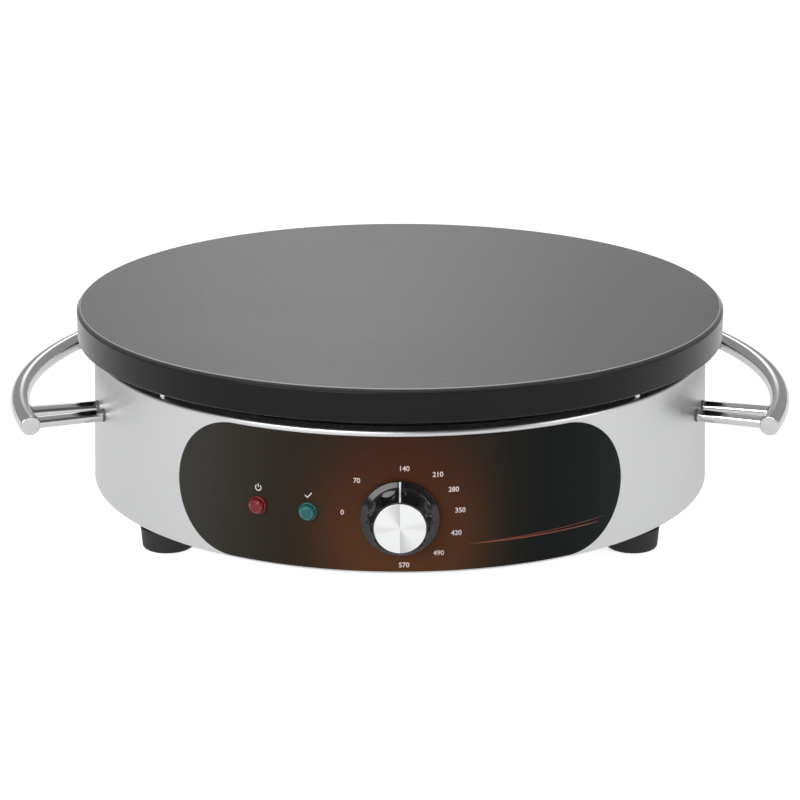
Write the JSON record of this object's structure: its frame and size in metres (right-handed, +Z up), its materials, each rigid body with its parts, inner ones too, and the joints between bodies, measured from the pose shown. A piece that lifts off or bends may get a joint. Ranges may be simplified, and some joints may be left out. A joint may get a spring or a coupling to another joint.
{
  "type": "crepe maker",
  "caption": "Round countertop crepe maker: a thick flat cast plate over a brushed steel drum with side handles, rubber feet, and a wrapped control panel with a heat knob and lamps.",
  "frame": {"origin": "middle of the part on the surface that its four feet stand on", "axes": "+X to the right from handle to handle, +Y to the back, +Z up; the knob faces -Y"},
  "size_m": [0.493, 0.4274, 0.126],
  "materials": {
    "seasoned_cast_iron": "machined, satin grey",
    "element_sheath": "heat-darkened sheath",
    "terminal_steel": "plain",
    "galvanised_sheet": "zinc-coated sheet",
    "mineral_wool": "matt felt",
    "dark_sheet": "matt black",
    "zinc_steel": "bright zinc",
    "bright_steel": "turned and polished",
    "brushed_stainless": "brushed round the drum",
    "black_rubber": "matt",
    "polished_stainless": "polished",
    "dark_washer": "matt",
    "glossy_overlay": "deep gloss, brown glow in the middle",
    "moulded_black": "matt moulded",
    "copper_tube": "dull copper",
    "glossy_black": "glossy",
    "spun_aluminium": "spun in rings",
    "white_mark": "white filling",
    "red_lens": "clear tinted",
    "green_lens": "clear tinted",
    "clear_glass": "clear",
    "white_ceramic": "glazed",
    "brass_screw": "plain",
    "wire_sleeve": "silicone sleeve"
  },
  "bodies": {
    "cooker": {"base_plate": "galvanised_sheet", "base_screws": "zinc_steel", "body_shell": "brushed_stainless", "bracket_screws": "zinc_steel", "bulb_clip": "galvanised_sheet", "bulb_clip_screws": "zinc_steel", "capillary_tube": "copper_tube", "clamp_nuts": "zinc_steel", "control_panel": "glossy_overlay", "cooking_plate": "seasoned_cast_iron", "cord_gland": "moulded_black", "cutout_screws": "zinc_steel", "earth_nut": "brass_screw", "earth_stud": "brass_screw", "element_clamp_plate": "galvanised_sheet", "element_terminals": "terminal_steel", "element_wires": "wire_sleeve", "feet": "black_rubber", "foot_nuts": "zinc_steel", "foot_screws": "zinc_steel", "foot_washers": "zinc_steel", "gland_nut": "moulded_black", "handle_nuts": "zinc_steel", "handle_washers": "dark_washer", "heat_shield": "dark_sheet", "inner_heating_element": "element_sheath", "insulation_blanket": "mineral_wool", "lamp_bulbs": "clear_glass", "lamp_nuts": "moulded_black", "lamp_wires": "wire_sleeve", "left_handle_bar": "polished_stainless", "left_handle_rods": "polished_stainless", "outer_heating_element": "element_sheath", "plate_spacers": "bright_steel", "plate_studs": "zinc_steel", "power_lamp_lens": "red_lens", "ready_lamp_lens": "green_lens", "right_handle_bar": "polished_stainless", "right_handle_rods": "polished_stainless", "sensing_bulb": "copper_tube", "shield_nuts": "zinc_steel", "spacer_nuts": "zinc_steel", "supply_wires": "wire_sleeve", "terminal_block": "white_ceramic", "terminal_screws": "brass_screw", "thermal_cutout": "moulded_black", "thermostat_body": "moulded_black", "thermostat_bracket": "galvanised_sheet", "thermostat_screws": "zinc_steel"},
    "heat_knob": {"knob": "glossy_black", "knob_cap": "spun_aluminium", "knob_clip": "bright_steel", "knob_pointer": "white_mark", "thermostat_shaft": "bright_steel"}
  },
  "joints": [
    {"name": "heat_setting", "type": "hinge", "parent": "cooker", "child": "heat_knob", "pos_m": [0, -0.195, 0.0482], "axis": [0, 1, 0], "range_deg": [-85, 175]}
  ]
}
